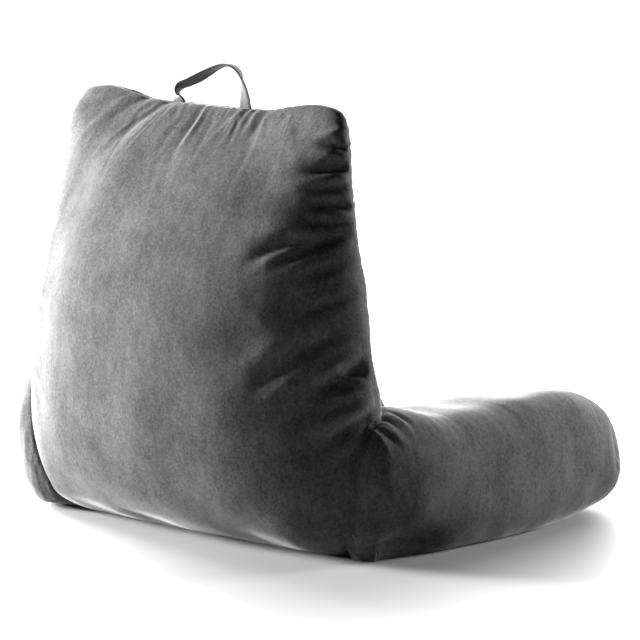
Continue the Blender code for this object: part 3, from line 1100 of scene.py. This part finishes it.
@dataclass
class Arm(FilledPiece):
    """A filled arm: two side panels and the band that runs between them over top and front."""

    side: Side = Side.LEFT
    rear_y: float = 0.188
    front_y: float = -0.238
    end_dome: float = 0.003
    outer_squareness: float = 2.2
    seam_squareness: float = 3.1
    sections: SmoothTable = field(default_factory=lambda: SmoothTable(ARM_SECTIONS))
    panel_from: float = -0.12
    panel_to: float = 0.905
    seam_end_y: float = 0.165
    panel_top_deg: float = 51.0
    panel_foot_deg: float = -86.0
    panel_top_squareness: float = 4.5
    panel_foot_squareness: float = 9.0
    facing_out: float = 0.3
    foot_height: float = 0.012
    foot_reach: float = 0.025
    lump_height: float = 0.0009
    lump_spacing: float = 0.06
    seam_look: SeamLook = SeamLook(seed=7, gather=0.0006, draw=0.0014, draw_width=0.006)

    def on_section(self, share: np.ndarray, across: np.ndarray, up: np.ndarray) -> np.ndarray:
        """Where places of the arm's upright cuts lie, one row each.

        Args:
            share: How far along the arm, from its rear to its front.
            across: The direction from the cut's middle, outwards.
            up: The direction from the cut's middle, upwards.

        Returns:
            The places, before the frame's shift.
        """
        centre_x, half_width, bottom_z, top_z, foot_square, inner_square = self.sections.at(share)
        edge = eased((share - 0.12) / 0.22)
        outer_square = self.outer_squareness + (self.seam_squareness - self.outer_squareness) * edge
        top_square = np.where(across > 0, outer_square, inner_square)
        across, up = rounded(across, up, np.where(up > 0, top_square, foot_square))
        y = self.rear_y + (self.front_y - self.rear_y) * share
        z = (bottom_z + top_z) / 2 + up * (top_z - bottom_z) / 2
        return np.stack([(centre_x + across * half_width) * self.side.value, y, np.maximum(z, 0.0)], 1)

    def surface(self, cube: np.ndarray) -> np.ndarray:
        """Where points of the gridded cube lie on the arm, one row each."""
        share = (1 - cube[:, 1]) / 2
        share = share - 0.5 * np.sin(2 * np.pi * share) / (2 * np.pi)
        points = self.on_section(share, cube[:, 0] * self.side.value, cube[:, 2])
        at_end = abs(cube[:, 1]) > 1 - SEAM_EDGE
        reach = np.maximum(abs(cube[:, 0]), abs(cube[:, 2]))
        points[:, 1] += at_end * self.end_dome * (1 - reach**2) * cube[:, 1]
        return points

    def panel_seam(self, wall: Wall) -> SeamLine:
        """The seam round one of the arm's side panels, a rounded rectangle on its skin."""
        turn = np.linspace(0.0, 2 * np.pi, 400, endpoint=False)
        wide, high = np.cos(turn), np.sin(turn)
        squareness = np.where(high > 0, self.panel_top_squareness, self.panel_foot_squareness)
        reach = (abs(wide) ** squareness + abs(high) ** squareness) ** (-1 / squareness)
        middle = (self.panel_from + self.panel_to) / 2
        half = (self.panel_to - self.panel_from) / 2
        share = middle + half * wide * reach
        centre = (self.panel_top_deg + self.panel_foot_deg) / 2
        swing = (self.panel_top_deg - self.panel_foot_deg) / 2
        angle = np.radians(centre + swing * high * reach)
        points = self.on_section(share, np.cos(angle) * wall.value, np.sin(angle))
        return SeamLine.through(points + np.array(FRAME_SHIFT), closed=True)

    def fill_out(self) -> None:
        """Moves the skin to where the filling stands out further or less."""
        points = positions(self.obj)
        relief = np.zeros(len(points))
        for swell in ARM_SWELLS:
            middle = np.array([swell.x, swell.y, swell.z]) + np.array(FRAME_SHIFT)
            away = np.linalg.norm(points - middle, axis=1) / swell.radius
            relief += swell.push * np.exp(-away * away)
        moved = normals(self.obj) * relief[:, None]
        height = points[:, 2]
        wall = np.flatnonzero((height > self.foot_height) & (height < 2.5 * self.foot_height))
        tree = KDTree(len(wall))
        for row in wall:
            tree.insert(Vector(points[row]), row)
        tree.balance()
        for row in np.flatnonzero(height <= self.foot_height):
            _, nearest, gap = tree.find(Vector(points[row]))
            lifted = eased(height[row] / self.foot_height)
            carried = moved[nearest] * (1, 1, 0) * eased(1.6 - gap / self.foot_reach)
            moved[row] = moved[row] * lifted + carried * (1 - lifted)
        points += moved
        points[:, 2] = np.maximum(points[:, 2], 0.0)
        place(self.obj, points)

    def draw_folds(self, others: Sequence[BVHTree]) -> None:
        """Raises the arm's folds, evens out its filling and draws in its seams.

        Args:
            others: The skins of the pieces that are sewn to this one.
        """
        points = positions(self.obj)
        relief = self.joint.relief(points, others)
        relief += self.lump_height * lumps(points, self.lump_spacing, 8 + self.side.value)
        outwards = normals(self.obj)[:, 0] * self.side.value
        u = points[:, 1] - FRAME_SHIFT.y
        folds = [*ARM_FOLDS, *(fold for fan in ARM_FANS for fold in fan.folds())]
        relief += eased(outwards / self.facing_out) * fold_relief(folds, u, points[:, 2])
        for wall in Wall:
            distance, along = self.panel_seam(wall).nearest(points, 0.06)
            relief += self.seam_look.relief(distance, along) * eased((self.seam_end_y - u) / 0.02)
        self.raise_by(relief)

    def shape(self) -> None:
        """Lays the arm out and wrinkles its cloth."""
        self.lay_out()
        self.fill_out()
        points = positions(self.obj)
        held = points[:, 2] < HELD_WITHIN
        nearest = np.full(len(points), 1.0)
        for wall in Wall:
            distance, _ = self.panel_seam(wall).nearest(points, 0.08)
            nearest = np.minimum(nearest, distance)
        self.wrinkle(held | (nearest < HELD_WITHIN), 0.12 + 0.35 * np.exp(-nearest / 0.02))
        self.subdivide()


@dataclass
class CarryStrap:
    """The strap: a flat sewn band, twisted on its way over and sewn into the top seam."""

    name: str = "handle_band"
    node: str = "handle"
    slot: str = "strap_velour"
    width: float = 0.020
    thickness: float = 0.0026
    y: float = 0.156
    faces: tuple[int, int, int] = (10, 120, 2)
    path: SmoothTable = field(default_factory=lambda: SmoothTable(STRAP_PATH))
    obj: bpy.types.Object = field(init=False, default=None)

    def surface(self, cube: np.ndarray) -> np.ndarray:
        """Where points of the gridded cube lie on the strap: X is its width, Y its length."""
        share = (cube[:, 1] + 1) / 2
        x, z, twist = self.path.at(share)
        ahead = self.path.at(np.minimum(share + 0.01, 1.0))
        behind = self.path.at(np.maximum(share - 0.01, 0.0))
        along = np.stack([ahead[0] - behind[0], np.zeros(len(share)), ahead[1] - behind[1]], 1)
        along /= np.linalg.norm(along, axis=1)[:, None]
        across_loop = np.array([0.0, -1.0, 0.0])
        outward = np.cross(along, across_loop)
        turn = np.radians(twist)[:, None]
        width_axis = across_loop * np.cos(turn) + outward * np.sin(turn)
        face_axis = np.cross(width_axis, along)
        centre = np.stack([x, np.full(len(share), self.y), z], 1)
        edge = np.sqrt(np.maximum(1 - abs(cube[:, 0]) ** 6, 0.02))
        return (
            centre
            + width_axis * (cube[:, 0] * self.width / 2)[:, None]
            + face_axis * (cube[:, 2] * edge * self.thickness / 2)[:, None]
        )

    def build(self, material: bpy.types.Material) -> None:
        """Makes and dresses the strap.

        Args:
            material: The strap's cloth.
        """
        self.obj = gridded_cube(self.name, self.faces)
        place(self.obj, self.surface(positions(self.obj)) + np.array(FRAME_SHIFT))
        dress(self.obj, material)
        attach(self.obj, "root")
        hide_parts(self.node)
        LOG.info("%s: %d vertices", self.name, len(self.obj.data.vertices))


@dataclass
class StrapStitches:
    """The two rows of stitches along the strap, which hold its folded edges."""

    strap: CarryStrap
    name: str = "handle_stitches"
    slot: str = "strap_velour"
    row_share: float = 0.72
    sink: float = 0.05
    pitch: float = 0.0034
    length: float = 0.0025
    thread_radius: float = 0.00032
    stations: int = 160
    row_end: float = 0.97

    def rows(self) -> bpy.types.Object:
        """The four lines that the stitches follow, two on each face of the strap."""
        along = np.linspace(-self.row_end, self.row_end, self.stations)
        points, edges = [], []
        for across in (-self.row_share, self.row_share):
            for face in (-1.0 + self.sink, 1.0 - self.sink):
                first = len(points)
                cube = np.stack([np.full(len(along), across), along, np.full(len(along), face)], 1)
                points.extend(self.strap.surface(cube) + np.array(FRAME_SHIFT))
                edges.extend((first + i, first + i + 1) for i in range(len(along) - 1))
        mesh = bpy.data.meshes.new(self.name + "_rows")
        mesh.from_pydata([tuple(point) for point in points], edges, [])
        rows = bpy.data.objects.new(self.name + "_rows", mesh)
        bpy.context.scene.collection.objects.link(rows)
        return rows

    def build(self, material: bpy.types.Material) -> None:
        """Sews the rows.

        Args:
            material: The thread.
        """
        rows = self.rows()
        modifier = rows.modifiers.new("stitch_row", "NODES")
        modifier.node_group = stitch_row_tree()
        sizes = {"Pitch": self.pitch, "Stitch Length": self.length, "Thread Radius": self.thread_radius}
        for size, value in sizes.items():
            modifier_input(modifier, size, value)
        modifier_input(modifier, "Thread", material)
        stitches = as_mesh(rows, self.name)
        stitches.data.shade_smooth()
        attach(stitches, "root")
        LOG.info("%s: %d vertices", stitches.name, len(stitches.data.vertices))


# ---------------------------------------------------------------- studio
@dataclass(frozen=True)
class SoftBox:
    """A soft square light, placed round the pillow by its bearing from it."""

    name: str
    bearing_deg: float
    elevation_deg: float
    distance: float
    size: float
    watts: float


@dataclass(frozen=True)
class FarLight:
    """A light so far off that it is even over the whole floor, softened as a lit ceiling is."""

    name: str
    bearing_deg: float
    elevation_deg: float
    spread_deg: float
    strength: float


@dataclass
class Studio:
    """A pale floor, soft lights and the camera at the photograph's viewing angle."""

    floor_colour: str = "989898"
    floor_half_size: float = 30.0
    world_strength: float = 0.02
    image_pixels: int = 640
    focal_pixels: float = 4300.0
    sensor_mm: float = 36.0
    camera_turn_deg: float = 44.0
    camera_distance: float = 4.4
    camera_height: float = 0.86
    aim: Vector = field(default_factory=lambda: Vector((-0.0032, -0.0190, 0.2)))
    lights: tuple[SoftBox, ...] = (
        SoftBox("key_left", 61.0, 10.0, 3.5, 0.9, 880.0),
        SoftBox("rim_left", 95.0, 10.0, 2.5, 0.8, 380.0),
        SoftBox("rim_right", -150.0, 12.0, 3.0, 0.8, 190.0),
        SoftBox("backdrop", 150.0, 14.0, 12.0, 9.0, 3200.0),
    )
    ceiling: FarLight = FarLight("ceiling", 150.0, 38.0, 50.0, 2.0)

    def build(self) -> None:
        """Makes the floor, the world, the lights and the camera."""
        self._floor()
        self._world()
        for light in self.lights:
            self._light(light)
        self._ceiling()
        self._camera()
        bpy.context.scene.view_settings.view_transform = "Standard"

    def _bearing(self, bearing_deg: float, elevation_deg: float) -> Vector:
        """The direction from the aim to a bearing; 0 is +Y and 90 is +X."""
        bearing, up = math.radians(bearing_deg), math.radians(elevation_deg)
        return Vector((math.sin(bearing) * math.cos(up), math.cos(bearing) * math.cos(up), math.sin(up)))

    def _floor(self) -> None:
        """Makes the floor, a plain matt sheet of paper."""
        mesh = bmesh.new()
        bmesh.ops.create_grid(mesh, x_segments=2, y_segments=2, size=self.floor_half_size)
        data = bpy.data.meshes.new("floor")
        mesh.to_mesh(data)
        mesh.free()
        floor = bpy.data.objects.new("floor", data)
        bpy.context.scene.collection.objects.link(floor)
        material = bpy.data.materials.new("seamless_paper")
        material.use_nodes = True
        build = NodeBuilder(material.node_tree)
        shader = build.add(
            "ShaderNodeBsdfPrincipled", base_color=linear(self.floor_colour), roughness=0.6
        )
        build.add("ShaderNodeOutputMaterial", i0=shader.outputs[0])
        data.materials.append(material)

    def _world(self) -> None:
        """Makes the even white surround."""
        world = bpy.data.worlds.new("surround")
        world.use_nodes = True
        build = NodeBuilder(world.node_tree)
        sky = build.add("ShaderNodeBackground", color=(1.0, 1.0, 1.0, 1.0), strength=self.world_strength)
        build.add("ShaderNodeOutputWorld", i0=sky.outputs[0])
        bpy.context.scene.world = world

    def _light(self, box: SoftBox) -> None:
        """Makes one soft light, aimed at the pillow."""
        data = bpy.data.lights.new(box.name, "AREA")
        data.shape = "SQUARE"
        data.size = box.size
        data.energy = box.watts
        light = bpy.data.objects.new(box.name, data)
        way = self._bearing(box.bearing_deg, box.elevation_deg)
        light.location = self.aim + way * box.distance
        light.rotation_euler = (-way).to_track_quat("-Z", "Y").to_euler()
        bpy.context.scene.collection.objects.link(light)

    def _ceiling(self) -> None:
        """Makes the far light."""
        data = bpy.data.lights.new(self.ceiling.name, "SUN")
        data.angle = math.radians(self.ceiling.spread_deg)
        data.energy = self.ceiling.strength
        light = bpy.data.objects.new(self.ceiling.name, data)
        way = self._bearing(self.ceiling.bearing_deg, self.ceiling.elevation_deg)
        light.rotation_euler = (-way).to_track_quat("-Z", "Y").to_euler()
        bpy.context.scene.collection.objects.link(light)

    def _camera(self) -> None:
        """Makes the camera, behind the pillow and to its right."""
        data = bpy.data.cameras.new("camera")
        data.sensor_width = self.sensor_mm
        data.lens = self.focal_pixels / self.image_pixels * self.sensor_mm
        camera = bpy.data.objects.new("camera", data)
        turn = math.radians(self.camera_turn_deg)
        reach = Vector((-math.sin(turn), math.cos(turn), 0.0)) * self.camera_distance
        camera.location = Vector((self.aim.x, self.aim.y, self.camera_height)) + reach
        camera.rotation_euler = (self.aim - camera.location).to_track_quat("-Z", "Y").to_euler()
        bpy.context.scene.collection.objects.link(camera)
        bpy.context.scene.camera = camera


def main() -> None:
    """Builds the pieces and the studio."""
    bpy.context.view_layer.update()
    velour = PolyesterVelour().material()
    backrest = Backrest("backrest_cover", "backrest", "body_velour", fill=0.85, faces=(90, 20, 84))
    left = Arm(
        "arm_left_cover",
        "arm_left",
        "body_velour",
        fill=0.85,
        faces=(26, 86, 30),
        side=Side.LEFT,
        rear_y=0.208,
        sections=SmoothTable(LEFT_ARM_SECTIONS),
    )
    right = Arm(
        "arm_right_cover", "arm_right", "body_velour", fill=0.85, faces=(26, 84, 30), side=Side.RIGHT
    )
    arms = (left, right)
    for piece in (backrest, *arms):
        piece.shape()
    skins = {piece.name: piece.skin() for piece in (backrest, *arms)}
    backrest.draw_folds([skins[arm.name] for arm in arms])
    for arm in arms:
        arm.draw_folds([skins[backrest.name]])
    for piece in (backrest, *arms):
        piece.finish(velour)
    strap = CarryStrap()
    strap.build(velour)
    StrapStitches(strap).build(PolyesterThread().material())
    Studio().build()


if __name__ == "__main__":
    main()
